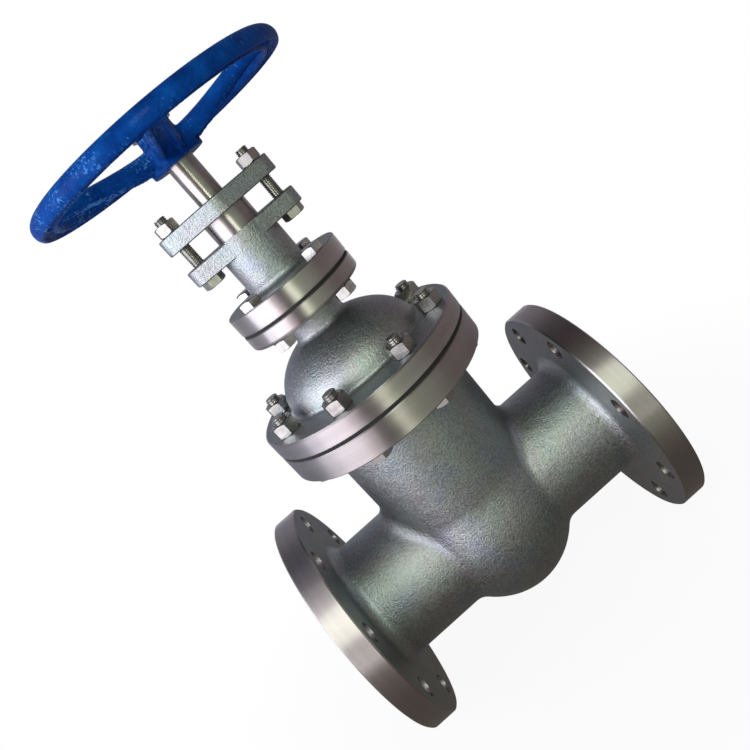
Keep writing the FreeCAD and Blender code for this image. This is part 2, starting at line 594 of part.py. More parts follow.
def gland_follower():
    """Plate and sleeve in one piece. The sleeve presses on the packing."""
    sleeve_radius = PACKING_CHAMBER_RADIUS - GLAND_WALL_CLEARANCE
    plate = eared_plate(
        GLAND_PLATE_UNDERSIDE, GLAND_PLATE_TOP, BOX_RADIUS + GLAND_CORNER_STEP,
        GLAND_CORNER_RADIUS,
    )
    shape = plate.fuse(disc(sleeve_radius, PACKING_TOP, GLAND_PLATE_TOP)).removeSplitter()
    shape = shape.cut(disc(STEM_RADIUS + PASSING_CLEARANCE, PACKING_TOP, GLAND_PLATE_TOP))
    return shape.cut(holes(GLAND_BOLTS, M10, GLAND_PLATE_UNDERSIDE, GLAND_PLATE_TOP))


def spoke_section(share):
    """An oval across a spoke that points along +X, at a share of the way from hub to rim."""
    out = HUB_RADIUS / 2 + share * (RIM_MIDDLE_RADIUS - HUB_RADIUS / 2)
    ease = (1 - math.cos(math.pi * share)) / 2
    half_width = SPOKE_ROOT_HALF_WIDTH + ease * (SPOKE_TIP_HALF_WIDTH - SPOKE_ROOT_HALF_WIDTH)
    half_height = SPOKE_ROOT_HALF_HEIGHT + ease * (SPOKE_TIP_HALF_HEIGHT - SPOKE_ROOT_HALF_HEIGHT)
    height = HUB_UNDERSIDE + SPOKE_ROOT_RISE + ease * (RIM_RISE - SPOKE_ROOT_RISE)
    oval = Part.Ellipse(ORIGIN, half_width, half_height).toShape()
    oval.rotate(ORIGIN, Z_AXIS, 90)
    oval.rotate(ORIGIN, Y_AXIS, 90)
    oval.rotate(ORIGIN, X_AXIS, 90)
    oval.translate(Vector(out, 0, height))
    return Part.Wire(oval)


def handwheel():
    """Round rim, and oval spokes that leave the hub low and sweep up into the rim."""
    hub = disc(HUB_RADIUS, HUB_UNDERSIDE, HUB_TOP)
    hub = hub.makeChamfer(HUB_CHAMFER, circle_edges(hub, HUB_RADIUS, HUB_TOP))
    rim = Part.makeTorus(RIM_MIDDLE_RADIUS, RIM_SECTION_RADIUS, Vector(0, 0, RIM_HEIGHT))
    last = SPOKE_SECTION_COUNT - 1
    sections = [spoke_section(index / last) for index in range(SPOKE_SECTION_COUNT)]
    spoke = Part.makeLoft(sections, True, False)
    shape = hub
    for index in range(SPOKE_COUNT):
        arm = spoke.copy()
        arm.rotate(ORIGIN, Z_AXIS, SPOKE_AZIMUTH + 360.0 * index / SPOKE_COUNT)
        shape = shape.fuse(arm)
    shape = shape.fuse(rim)
    shape = shape.cut(disc(STEM_RADIUS + HUB_FIT, HUB_UNDERSIDE, HUB_TOP))
    return shape.cut(key_block(KEY_CLEARANCE))


def handwheel_washer():
    return tube(WHEEL_WASHER_RADIUS, M14.radius + RUNNING_CLEARANCE, HUB_TOP, WHEEL_NUT_FOOT)


PIECES = {
    "valve_body": valve_body,
    "seat_ring_inlet": lambda: seat_ring(-1),
    "seat_ring_outlet": lambda: seat_ring(1),
    "gate_wedge": gate_wedge,
    "stem_nut": stem_nut,
    "stem": stem,
    "bonnet": bonnet,
    "bonnet_gasket": lambda: gasket(COVER_RADIUS, CHAMBER_RADIUS, BODY_TOP, COVER_BOLTS, M12),
    "bonnet_bolts": lambda: bolts(
        COVER_BOLTS, M12, BODY_FLANGE_UNDERSIDE, COVER_NUT_SEAT + M12.nut_height + BOLT_END_OUT
    ),
    "bonnet_nuts": lambda: nuts(COVER_BOLTS, M12, COVER_NUT_SEAT),
    "bonnet_bush": bonnet_bush,
    "thrust_washer_lower": lambda: thrust_washer(COLLAR_SEAT, SCREW_RADIUS),
    "thrust_washer_upper": lambda: thrust_washer(UPPER_WASHER_FOOT, STEM_RADIUS),
    "stuffing_box": stuffing_box,
    "stuffing_box_gasket": lambda: gasket(
        TOP_FLANGE_RADIUS, COLLAR_RADIUS, TOP_JOINT, TOP_BOLTS, M10
    ),
    "stuffing_box_bolts": lambda: bolts(
        TOP_BOLTS, M10, BOX_FLANGE_TOP, TOP_FLANGE_UNDERSIDE - M10.nut_height - TOP_BOLT_END_OUT
    ),
    "stuffing_box_nuts": lambda: nuts(TOP_BOLTS, M10, TOP_FLANGE_UNDERSIDE - M10.nut_height),
    "packing_rings": packing_rings,
    "gland_follower": gland_follower,
    "gland_bolts": lambda: bolts(
        GLAND_BOLTS, M10, EAR_PLATE_UNDERSIDE, GLAND_PLATE_TOP + M10.nut_height + BOLT_END_OUT,
        GLAND_HEX_TURN,
    ),
    "gland_nuts": lambda: nuts(GLAND_BOLTS, M10, GLAND_PLATE_TOP, GLAND_HEX_TURN),
    "handwheel": handwheel,
    "handwheel_key": key_block,
    "handwheel_washer": handwheel_washer,
    "handwheel_nut": lambda: nuts([(0.0, 0.0)], M14, WHEEL_NUT_FOOT),
}

os.makedirs("parts", exist_ok=True)
for node, make in PIECES.items():
    make().exportStep(f"parts/{node}.step")
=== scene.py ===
import json
import math
from collections import namedtuple

import bmesh
import bpy
from mathutils import Matrix, Vector


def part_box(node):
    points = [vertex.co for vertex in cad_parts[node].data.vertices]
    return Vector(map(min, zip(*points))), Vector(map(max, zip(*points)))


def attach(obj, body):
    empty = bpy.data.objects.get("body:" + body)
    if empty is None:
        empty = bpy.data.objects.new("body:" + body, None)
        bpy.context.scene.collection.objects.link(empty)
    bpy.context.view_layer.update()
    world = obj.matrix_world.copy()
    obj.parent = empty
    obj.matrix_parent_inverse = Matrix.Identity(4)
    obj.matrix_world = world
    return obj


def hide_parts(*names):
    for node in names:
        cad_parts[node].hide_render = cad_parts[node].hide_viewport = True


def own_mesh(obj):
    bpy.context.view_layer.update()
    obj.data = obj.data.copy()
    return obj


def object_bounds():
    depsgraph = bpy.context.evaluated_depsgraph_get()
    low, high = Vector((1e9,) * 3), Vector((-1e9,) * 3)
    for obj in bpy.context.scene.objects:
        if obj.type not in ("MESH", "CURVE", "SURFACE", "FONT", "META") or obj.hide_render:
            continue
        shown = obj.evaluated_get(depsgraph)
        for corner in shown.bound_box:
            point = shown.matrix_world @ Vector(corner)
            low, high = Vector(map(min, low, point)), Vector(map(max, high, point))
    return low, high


# A flanged wedge gate valve in cast stainless steel with a blue handwheel. Metres.
# The pipe axis is X and the stem axis is Z, and they cross at the origin.

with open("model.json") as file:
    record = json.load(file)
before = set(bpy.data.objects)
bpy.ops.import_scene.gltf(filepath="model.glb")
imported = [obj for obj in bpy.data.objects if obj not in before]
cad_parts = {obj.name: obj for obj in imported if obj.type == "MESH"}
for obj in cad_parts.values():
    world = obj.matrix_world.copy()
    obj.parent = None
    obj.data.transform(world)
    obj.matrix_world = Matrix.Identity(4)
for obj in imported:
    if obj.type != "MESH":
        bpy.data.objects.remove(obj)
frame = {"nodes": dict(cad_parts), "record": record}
cad_low, cad_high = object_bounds()
record = frame["record"]

MM = 0.001
FULL_TURN = 2 * math.pi
HEX_STEP = FULL_TURN / 6
ROUND_STEPS = 72            # a multiple of 12, so that hexagon corners fall on a step
SHARP_ANGLE = math.radians(28)
JOIN_DISTANCE = 0.002 * MM
RIM_OUTER = 110.5 * MM      # of the handwheel

BODY_OF = {node: body for body, nodes in record["behaviour"]["bodies"].items() for node in nodes}


# Camera

CAMERA_PLACE = Vector((-0.008908, -0.54566, 0.33043))
CAMERA_YAW = 0.026
CAMERA_PITCH = 0.3085       # downwards
CAMERA_ROLL = 0.716485      # 41 degrees, so the valve leans to the left in the picture
CAMERA_LENS = 33.88         # mm, as is the next
CAMERA_SENSOR = 36.0


def make_camera():
    forward = Vector((
        math.sin(CAMERA_YAW) * math.cos(CAMERA_PITCH),
        math.cos(CAMERA_YAW) * math.cos(CAMERA_PITCH),
        -math.sin(CAMERA_PITCH),
    ))
    level = Vector((math.cos(CAMERA_YAW), -math.sin(CAMERA_YAW), 0.0))
    down = forward.cross(level)
    right = level * math.cos(CAMERA_ROLL) + down * math.sin(CAMERA_ROLL)
    up = level * math.sin(CAMERA_ROLL) - down * math.cos(CAMERA_ROLL)
    turn = Matrix((right, up, -forward)).transposed().to_4x4()
    data = bpy.data.cameras.new("camera")
    data.lens = CAMERA_LENS
    data.sensor_width = CAMERA_SENSOR
    camera = bpy.data.objects.new("camera", data)
    camera.matrix_world = Matrix.Translation(CAMERA_PLACE) @ turn
    bpy.context.scene.collection.objects.link(camera)
    bpy.context.scene.camera = camera


# Materials

def linear(hex_colour):
    """A colour written as sRGB hex, as the linear values that a shader takes."""
    values = [int(hex_colour[start:start + 2], 16) / 255 for start in (1, 3, 5)]
    curve = [v / 12.92 if v <= 0.04045 else ((v + 0.055) / 1.055) ** 2.4 for v in values]
    return (*curve, 1.0)


def add(tree, kind, settings=None, inputs=None, stops=None):
    """Adds one node. An input given a socket is linked to it, and any other gets the value.
    The stops of a colour ramp are places from 0 to 1, each with a hex colour."""
    made = tree.nodes.new(kind)
    for name, value in (settings or {}).items():
        setattr(made, name, value)
    for name, value in (inputs or {}).items():
        if isinstance(value, bpy.types.NodeSocket):
            tree.links.new(value, made.inputs[name])
        else:
            made.inputs[name].default_value = value
    if stops:
        points = made.color_ramp.elements
        while len(points) < len(stops):
            points.new(1.0)
        for point, (place, colour) in zip(points, stops):
            point.position = place
            point.color = linear(colour)
    return made


def start_material(name):
    """A material, and its tree with nothing but Object coordinates."""
    material = bpy.data.materials.new(name)
    material.use_nodes = True
    tree = material.node_tree
    tree.nodes.clear()
    place = add(tree, "ShaderNodeTexCoord").outputs["Object"]
    return material, tree, place


# Nearly all values of a noise lie in this range, which is stretched to a range of roughness.
NOISE_RANGE = {"From Min": 0.3, "From Max": 0.7}
ACROSS_THE_RINGS = 0.25     # of a turn, from along them


def cast_stainless():
    """Shot-blasted and pickled cast stainless steel: a satin grey skin of fine grit, with painted
    shade in the grit's hollows and soft broad highlights, slightly wavy, clouded green, violet and
    blue by the pickling. The real grit is 0.4 mm, too fine to show, so it is drawn 1.7 mm across."""
    material, tree, place = start_material("shot_blasted_cast_stainless")
    clouds = add(tree, "ShaderNodeTexNoise", inputs={
        "Vector": place, "Scale": 1 / (34 * MM), "Detail": 3.0,
    })
    pickled = add(
        tree, "ShaderNodeValToRGB", inputs={"Fac": clouds.outputs["Fac"]}, stops=[
            (0.30, "#a2a8b0"), (0.44, "#a8aeac"), (0.56, "#aaa9a9"), (0.70, "#a5a6ae"),
        ],
    )
    grit = add(tree, "ShaderNodeTexNoise", inputs={
        "Vector": place, "Scale": 1 / (1.7 * MM), "Detail": 3.0, "Roughness": 0.7,
    }).outputs["Fac"]
    # Painted shade: darker where the grit's bump sinks.
    pit_painted_shade = add(
        tree, "ShaderNodeValToRGB", inputs={"Fac": grit},
        stops=[(0.34, "#d2d3d4"), (0.60, "#ffffff")],
    )
    colour = add(tree, "ShaderNodeMix", {"data_type": "RGBA", "blend_type": "MULTIPLY"}, {
        "Factor": 1.0, "A": pickled.outputs["Color"], "B": pit_painted_shade.outputs["Color"],
    })
    dullness = add(tree, "ShaderNodeMapRange", inputs={
        "Value": grit, **NOISE_RANGE, "To Min": 0.34, "To Max": 0.48,
    })
    waves = add(tree, "ShaderNodeTexNoise", inputs={
        "Vector": place, "Scale": 1 / (11 * MM), "Detail": 1.0,
    })
    wavy = add(tree, "ShaderNodeBump", inputs={
        "Height": waves.outputs["Fac"], "Distance": 0.35 * MM,
    })
    gritty = add(tree, "ShaderNodeBump", inputs={
        "Height": grit, "Distance": 0.50 * MM, "Normal": wavy.outputs["Normal"],
    })
    shader = add(tree, "ShaderNodeBsdfPrincipled", inputs={
        "Metallic": 1.0, "Base Color": colour.outputs["Result"],
        "Roughness": dullness.outputs["Result"], "Normal": gritty.outputs["Normal"],
    })
    add(tree, "ShaderNodeOutputMaterial", inputs={"Surface": shader.outputs["BSDF"]})
    return material


def turned_metal(name, axis, bright, dull):
    """Lathe-turned metal: fine tool rings round the axis, so that a lamp is drawn out into a
    bright streak across them, with faint bands of two tints.
    The real rings are 0.2 mm apart, too fine to show, so they are drawn 0.7 mm apart."""
    material, tree, place = start_material(name)
    parts = add(tree, "ShaderNodeSeparateXYZ", inputs={"Vector": place}).outputs
    first, second = (letter for letter in "XYZ" if letter != axis)
    off_axis = add(tree, "ShaderNodeCombineXYZ", inputs={"X": parts[first], "Y": parts[second]})
    reach = add(
        tree, "ShaderNodeVectorMath", {"operation": "LENGTH"}, {0: off_axis.outputs["Vector"]}
    )
    rings = add(tree, "ShaderNodeCombineXYZ", inputs={
        "X": parts[axis], "Y": reach.outputs["Value"],
    }).outputs["Vector"]
    fine = add(tree, "ShaderNodeTexNoise", inputs={
        "Vector": rings, "Scale": 1 / (0.7 * MM), "Detail": 1.0,
    }).outputs["Fac"]
    broad = add(tree, "ShaderNodeTexNoise", inputs={"Vector": rings, "Scale": 1 / (6 * MM)})
    bands = add(
        tree, "ShaderNodeValToRGB", inputs={"Fac": broad.outputs["Fac"]},
        stops=[(0.3, bright), (0.7, dull)],
    )
    dullness = add(tree, "ShaderNodeMapRange", inputs={
        "Value": fine, **NOISE_RANGE, "To Min": 0.30, "To Max": 0.36,
    })
    pole = (1.0, 0.0, 0.0) if axis == "X" else (0.0, 0.0, 1.0)
    round_axis = add(
        tree, "ShaderNodeVectorMath", {"operation": "CROSS_PRODUCT"}, {0: pole, 1: place}
    )
    tangent = add(
        tree, "ShaderNodeVectorTransform",
        {"vector_type": "VECTOR", "convert_from": "OBJECT", "convert_to": "WORLD"},
        {"Vector": round_axis.outputs["Vector"]},
    )
    grooved = add(tree, "ShaderNodeBump", inputs={"Height": fine, "Distance": 0.003 * MM})
    shader = add(tree, "ShaderNodeBsdfPrincipled", inputs={
        "Metallic": 1.0, "Base Color": bands.outputs["Color"],
        "Roughness": dullness.outputs["Result"], "Normal": grooved.outputs["Normal"],
        "Anisotropic": 0.9, "Anisotropic Rotation": ACROSS_THE_RINGS,
        "Tangent": tangent.outputs["Vector"],
    })
    add(tree, "ShaderNodeOutputMaterial", inputs={"Surface": shader.outputs["BSDF"]})
    return material


def fastener_steel():
    """Cold-formed stainless fasteners: bright, faintly straw, with rolled flats and a few
    dull patches from the spanner."""
    material, tree, place = start_material("cold_formed_stainless_fasteners")
    patches = add(tree, "ShaderNodeTexNoise", inputs={
        "Vector": place, "Scale": 1 / (5 * MM), "Detail": 3.0,
    }).outputs["Fac"]
    colour = add(
        tree, "ShaderNodeValToRGB", inputs={"Fac": patches},
        stops=[(0.35, "#b9b7b2"), (0.65, "#a6a39e")],
    )
    dullness = add(tree, "ShaderNodeMapRange", inputs={
        "Value": patches, **NOISE_RANGE, "To Min": 0.20, "To Max": 0.30,
    })
    uneven = add(tree, "ShaderNodeBump", inputs={"Height": patches, "Distance": 0.012 * MM})
    shader = add(tree, "ShaderNodeBsdfPrincipled", inputs={
        "Metallic": 1.0, "Base Color": colour.outputs["Color"],
        "Roughness": dullness.outputs["Result"], "Normal": uneven.outputs["Normal"],
    })
    add(tree, "ShaderNodeOutputMaterial", inputs={"Surface": shader.outputs["BSDF"]})
    return material


def blue_enamel():
    """Glossy blue enamel brushed thick over rough cast iron: a deep clear blue under a
    shining skin with orange peel, dark in the hollows, and pale chalky specks that are partly
    knocks in the paint and partly painted highlights, with painted light making more of them on the
    left side."""
    material, tree, place = start_material("glossy_blue_enamel_on_cast_iron")
    clouds = add(tree, "ShaderNodeTexNoise", inputs={
        "Vector": place, "Scale": 1 / (16 * MM), "Detail": 4.0, "Roughness": 0.6,
    }).outputs["Fac"]
    blue = add(
        tree, "ShaderNodeValToRGB", inputs={"Fac": clouds}, stops=[
            (0.30, "#042e70"), (0.45, "#05377f"), (0.58, "#06408c"), (0.72, "#0a4f9c"),
        ],
    )
    knocks = add(tree, "ShaderNodeTexNoise", inputs={
        "Vector": place, "Scale": 1 / (2.2 * MM), "Detail": 3.0, "Roughness": 0.7,
    }).outputs["Fac"]
    handled = add(tree, "ShaderNodeTexNoise", inputs={
        "Vector": place, "Scale": 1 / (26 * MM), "Detail": 1.0,
    })
    in_patches = add(tree, "ShaderNodeMath", {"operation": "MULTIPLY_ADD"}, {
        0: handled.outputs["Fac"], 1: 0.6, 2: knocks,
    })
    across = add(tree, "ShaderNodeSeparateXYZ", inputs={"Vector": place}).outputs["X"]
    # Painted light: the left side, towards the window, gets more of the pale specks.
    side = add(tree, "ShaderNodeMapRange", inputs={
        "Value": across, "From Min": -RIM_OUTER, "From Max": RIM_OUTER,
        "To Min": 0.07, "To Max": -0.13,
    })
    wear_and_left_light = add(tree, "ShaderNodeMath", {"operation": "ADD"}, {
        0: in_patches.outputs["Value"], 1: side.outputs["Result"],
    })
    # The pale specks are partly knocks in the paint and partly painted highlights on the raised
    # grain.
    chalk_and_painted_highlight = add(
        tree, "ShaderNodeValToRGB", inputs={"Fac": wear_and_left_light.outputs["Value"]},
        stops=[(0.90, "#000000"), (1.0, "#5c9be4")],
    )
    colour = add(tree, "ShaderNodeMix", {"data_type": "RGBA", "blend_type": "SCREEN"}, {
        "Factor": 0.5, "A": blue.outputs["Color"], "B": chalk_and_painted_highlight.outputs["Color"],
    })
    dullness = add(tree, "ShaderNodeMapRange", inputs={
        "Value": clouds, **NOISE_RANGE, "To Min": 0.40, "To Max": 0.55,
    })
    lumps = add(tree, "ShaderNodeTexNoise", inputs={
        "Vector": place, "Scale": 1 / (7 * MM), "Detail": 3.0,
    })
    lumpy = add(tree, "ShaderNodeBump", inputs={
        "Height": lumps.outputs["Fac"], "Distance": 1.2 * MM,
    })
    chipped = add(tree, "ShaderNodeBump", inputs={
        "Height": knocks, "Distance": 0.35 * MM, "Normal": lumpy.outputs["Normal"],
    })
    shader = add(tree, "ShaderNodeBsdfPrincipled", inputs={
        "Base Color": colour.outputs["Result"], "Roughness": dullness.outputs["Result"],
        "Normal": chipped.outputs["Normal"],
        "Specular IOR Level": 0.05, "Specular Tint": linear("#6fa8ff"),
        "Coat Weight": 0.05, "Coat Roughness": 0.12,
    })
    add(tree, "ShaderNodeOutputMaterial", inputs={"Surface": shader.outputs["BSDF"]})
    return material


def gasket_sheet():
    """Pressed graphite and rubber gasket sheet: dead black, with a felted edge and faint painted
    shade where the felt sinks.
    """
    material, tree, place = start_material("pressed_gasket_sheet")
    felt = add(tree, "ShaderNodeTexNoise", inputs={
        "Vector": place, "Scale": 1 / (0.9 * MM), "Detail": 3.0,
    }).outputs["Fac"]
    # Faint painted shade: darker where the felt's bump sinks.
    colour = add(
        tree, "ShaderNodeValToRGB", inputs={"Fac": felt},
        stops=[(0.35, "#0c0c0d"), (0.65, "#1e1e20")],
    )
    felted = add(tree, "ShaderNodeBump", inputs={"Height": felt, "Distance": 0.08 * MM})
    shader = add(tree, "ShaderNodeBsdfPrincipled", inputs={
        "Base Color": colour.outputs["Color"], "Roughness": 0.85,
        "Normal": felted.outputs["Normal"],
    })
    add(tree, "ShaderNodeOutputMaterial", inputs={"Surface": shader.outputs["BSDF"]})
    return material


def graphite_packing():
    """Braided graphite packing: black with a soft sheen, plaited from 2 mm strands, with painted
    shade in the grooves between them.
    """
    material, tree, place = start_material("braided_graphite_packing")
    strands = add(
        tree, "ShaderNodeTexVoronoi", inputs={"Vector": place, "Scale": 1 / (2 * MM)}
    ).outputs["Distance"]
    # Painted shade: darker away from each strand's middle, down in the grooves where the bump
    # sinks.
    colour = add(
        tree, "ShaderNodeValToRGB", inputs={"Fac": strands},
        stops=[(0.1, "#3a3b3e"), (0.8, "#141416")],
    )
    plaited = add(tree, "ShaderNodeBump", inputs={"Height": strands, "Distance": -0.4 * MM})
    shader = add(tree, "ShaderNodeBsdfPrincipled", inputs={
        "Metallic": 0.3, "Base Color": colour.outputs["Color"], "Roughness": 0.55,
        "Normal": plaited.outputs["Normal"],
    })
    add(tree, "ShaderNodeOutputMaterial", inputs={"Surface": shader.outputs["BSDF"]})
    return material


CAST = cast_stainless()
TURNED_PIPE = turned_metal("stainless_turned_about_the_pipe", "X", "#b5adaa", "#aaa29e")
TURNED_STEM = turned_metal("stainless_turned_about_the_stem", "Z", "#b7afad", "#aca4a1")
GROUND = turned_metal("stainless_ground_stem", "Z", "#bfb7af", "#b2aaa2")
BRONZE = turned_metal("turned_bronze", "Z", "#b98f52", "#8f6a3a")
FASTENER = fastener_steel()
ENAMEL = blue_enamel()
GASKET = gasket_sheet()
PACKING = graphite_packing()


# Studio

STUDIO_AIM = Vector((0.0, 0.0, 0.15))
STUDIO_STEPS = 64
FLOOR_RADIUS = 6.0
FLOOR_HEIGHT = cad_low.z - 0.1 * MM
PAPER = "#c8c8c8"           # the floor's colour where the lamps light it
SHADOW_CORE = 0.15
SHADOW_RADIUS = 0.45        # the floor's soft shadow fades out from the core to here
SHADOW_SHARE = 0.08
WORLD_FILL = 0.20

# Glowing cards that only reflections see: a mat just over the floor, and a shell over the mat. They
# are no lamps; their colours are painted reflections of a studio.
SHELL_RADIUS = 1.9
SHELL_STEPS, SHELL_RINGS = 96, 48
MAT_HEIGHT = FLOOR_HEIGHT + 0.05 * MM
MAT_STRENGTH = 1.15
SHELL_STRENGTH = 1.45

# Painted reflections of the studio round the valve, from the left by the front and the right and
# back.
# A painted window is bright on the left, a painted thin bright streak is near the front, and the
# right is painted dark.
ROUND_THE_VALVE = [
    (0.00, "#b9bfd1"), (0.06, "#c4c1ca"), (0.14, "#c2b5b4"), (0.185, "#6c6a6f"),
    (0.224, "#4a4a45"), (0.236, "#f4fbe6"), (0.250, "#f4fbe6"), (0.264, "#a5ae98"),
    (0.33, "#98a296"), (0.42, "#6a6363"), (0.52, "#726969"), (0.62, "#706a70"),
    (0.75, "#84848e"), (0.90, "#888b99"), (1.00, "#b9bfd1"),
]
# Painted reflections up the shell: white low down, painted darker overhead.
UP_THE_WALL = [
    (0.0, "#ffffff"), (0.30, "#fbfbfb"), (0.62, "#ebeef3"), (0.85, "#a3a9b5"), (1.0, "#7c8290"),
]
# Out over the floor the mat is painted dark close to the valve, a painted shadow, and white further
# out.
OVER_THE_FLOOR_FROM_PAINTED_SHADOW = [(0.0, "#807d78"), (0.14, "#8f8b86"), (0.31, "#efefef"), (1.0, "#ffffff")]

# Painted shadow of the valve: close to it the cards have one dim neutral colour, which fades out
# over this reach.
PAINTED_SHADOW_UNDER_VALVE = "#b8b0a8"
PAINTED_SHADOW_REACH = (0.15, 0.55)


def seen_directly(tree):
    """1 for rays from the camera, a reflection or glass, and 0 for diffuse light."""
    rays = add(tree, "ShaderNodeLightPath").outputs
    seen = rays["Is Camera Ray"]
    for kind in ("Is Glossy Ray", "Is Transmission Ray"):
        seen = add(tree, "ShaderNodeMath", {"operation": "MAXIMUM"}, {0: seen, 1: rays[kind]})
        seen = seen.outputs["Value"]
    return seen


def white_floor():
    """A floor that glows white. Near the valve a share of it is lit paper, for the shadow."""
    material, tree, place = start_material("white_paper_floor")
    paper = add(tree, "ShaderNodeBsdfPrincipled", inputs={
        "Base Color": linear(PAPER), "Roughness": 0.9,
    })
    reach = add(tree, "ShaderNodeVectorMath", {"operation": "LENGTH"}, {0: place})
    glow_share = add(tree, "ShaderNodeMapRange", inputs={
        "Value": reach.outputs["Value"], "From Min": SHADOW_CORE, "From Max": SHADOW_RADIUS,
        "To Min": 1.0 - SHADOW_SHARE, "To Max": 1.0,
    })
    share = add(tree, "ShaderNodeMath", {"operation": "MULTIPLY"}, {
        0: seen_directly(tree), 1: glow_share.outputs["Result"],
    })
    glow = add(tree, "ShaderNodeEmission")
    mixed = add(tree, "ShaderNodeMixShader", inputs={
        0: share.outputs["Value"], 1: paper.outputs["BSDF"], 2: glow.outputs["Emission"],
    })
    add(tree, "ShaderNodeOutputMaterial", inputs={"Surface": mixed.outputs["Shader"]})
    return material


def reflected_card(name, stops, strength, upright):
    """Painted reflections of the studio round the valve, dimmed up an upright card or out along a
    flat one, and a painted shadow of one neutral colour where the card comes close to the valve."""
    material, tree, place = start_material(name)
    sweep = add(tree, "ShaderNodeTexGradient", {"gradient_type": "RADIAL"}, {"Vector": place})
    studio = add(
        tree, "ShaderNodeValToRGB", inputs={"Fac": sweep.outputs["Fac"]}, stops=ROUND_THE_VALVE
    )
    reach = add(
        tree, "ShaderNodeVectorMath", {"operation": "LENGTH"}, {0: place}
    ).outputs["Value"]
    # Painted shadow: one colour near the valve, fading into the studio's colours.
    near, far = PAINTED_SHADOW_REACH
    share = add(tree, "ShaderNodeMapRange", inputs={
        "Value": reach, "From Min": near, "From Max": far,
    })
    colour = add(tree, "ShaderNodeMix", {"data_type": "RGBA"}, {
        "Factor": share.outputs["Result"], "A": linear(PAINTED_SHADOW_UNDER_VALVE),
        "B": studio.outputs["Color"],
    })
    run = reach
    if upright:
        run = add(tree, "ShaderNodeSeparateXYZ", inputs={"Vector": place}).outputs["Z"]
    away = add(tree, "ShaderNodeMapRange", inputs={"Value": run, "From Max": SHELL_RADIUS})
    dimmed = add(
        tree, "ShaderNodeValToRGB", inputs={"Fac": away.outputs["Result"]}, stops=stops
    )
    level = add(tree, "ShaderNodeMapRange", inputs={
        "Value": dimmed.outputs["Color"], "To Max": strength,
    })
    glow = add(tree, "ShaderNodeEmission", inputs={
        "Color": colour.outputs["Result"], "Strength": level.outputs["Result"],
    })
    add(tree, "ShaderNodeOutputMaterial", inputs={"Surface": glow.outputs["Emission"]})
    return material


def stage_object(name, bm, material):
    mesh = bpy.data.meshes.new(name)
    bm.to_mesh(mesh)
    bm.free()
    mesh.materials.append(material)
    made = bpy.data.objects.new(name, mesh)
    bpy.context.scene.collection.objects.link(made)
    return made


def disc(radius, height):
    bm = bmesh.new()
    bmesh.ops.create_circle(bm, cap_ends=True, segments=STUDIO_STEPS, radius=radius)
    bmesh.ops.translate(bm, verts=bm.verts, vec=(0, 0, height))
    return bm


def half_shell():
    bm = bmesh.new()
    bmesh.ops.create_uvsphere(
        bm, u_segments=SHELL_STEPS, v_segments=SHELL_RINGS, radius=SHELL_RADIUS
    )
    below = [vert for vert in bm.verts if vert.co.z < FLOOR_HEIGHT]
    bmesh.ops.delete(bm, geom=below, context="VERTS")
    return bm


def area_light(name, azimuth, elevation, distance, width, height, power, colour):
    """A soft panel aimed at the valve. Azimuth 0 is in front, and grows to the right."""
    data = bpy.data.lights.new(name, "AREA")
    data.shape = "RECTANGLE"
    data.size, data.size_y = width, height
    data.energy = power
    data.color = linear(colour)[:3]
    side, lift = math.radians(azimuth), math.radians(elevation)
    away = Vector((
        math.sin(side) * math.cos(lift), -math.cos(side) * math.cos(lift), math.sin(lift)
    ))
    light = bpy.data.objects.new(name, data)
    light.location = STUDIO_AIM + away * distance
    light.rotation_euler = away.to_track_quat("Z", "Y").to_euler()
    bpy.context.scene.collection.objects.link(light)
    return light


def make_lamps():
    """A lamp in front, a fill behind that metal doesn't mirror, a window on the left, and a
    weak lamp close to the valve and low on the left, which no camera sees."""
    area_light(
        "front_lamp", azimuth=-1, elevation=32, distance=1.6, width=0.4, height=0.9,
        power=8.0, colour="#f2ffec",
    )
    back_fill = area_light(
        "back_fill", azimuth=168, elevation=32, distance=1.6, width=1.2, height=0.9,
        power=8.0, colour="#f3f5ff",
    )
    back_fill.visible_glossy = False
    area_light(
        "left_window", azimuth=-66, elevation=20, distance=1.6, width=1.6, height=1.5,
        power=31.0, colour="#eef2ff",
    )
    low_lamp = area_light(
        "low_lamp", azimuth=-50, elevation=-11.5, distance=0.75, width=0.6, height=0.2,
        power=0.6, colour="#f4f2ff",
    )
    low_lamp.visible_camera = False


def make_sky():
    """White where it is seen or mirrored, and a weak fill for the rest."""
    world = bpy.data.worlds.new("studio")
    bpy.context.scene.world = world
    world.use_nodes = True
    tree = world.node_tree
    tree.nodes.clear()
    level = add(tree, "ShaderNodeMapRange", inputs={
        "Value": seen_directly(tree), "To Min": WORLD_FILL, "To Max": 1.0,
    })
    sky = add(tree, "ShaderNodeBackground", inputs={
        "Color": linear("#ffffff"), "Strength": level.outputs["Result"],
    })
    add(tree, "ShaderNodeOutputWorld", inputs={"Surface": sky.outputs["Background"]})


def make_studio():
    """White floor and sky, soft lamps, and glowing cards painted with the studio's reflections,
    which only reflections see.
    """
    stage_object("floor", disc(FLOOR_RADIUS, FLOOR_HEIGHT), white_floor())
    mat = reflected_card("reflected_mat", OVER_THE_FLOOR_FROM_PAINTED_SHADOW, MAT_STRENGTH, upright=False)
    shell = reflected_card("reflected_shell", UP_THE_WALL, SHELL_STRENGTH, upright=True)
    cards = [
        stage_object("reflected_mat", disc(SHELL_RADIUS, MAT_HEIGHT), mat),
        stage_object("reflected_shell", half_shell(), shell),
    ]
    for card in cards:
        card.visible_camera = card.visible_diffuse = card.visible_shadow = False
        card.visible_transmission = card.visible_volume_scatter = False
    make_lamps()
    make_sky()


# Shaping

def mark_sharp(bm):
    for face in bm.faces:
        face.smooth = True
    for edge in bm.edges:
        edge.smooth = edge.calc_face_angle(0.0) < SHARP_ANGLE


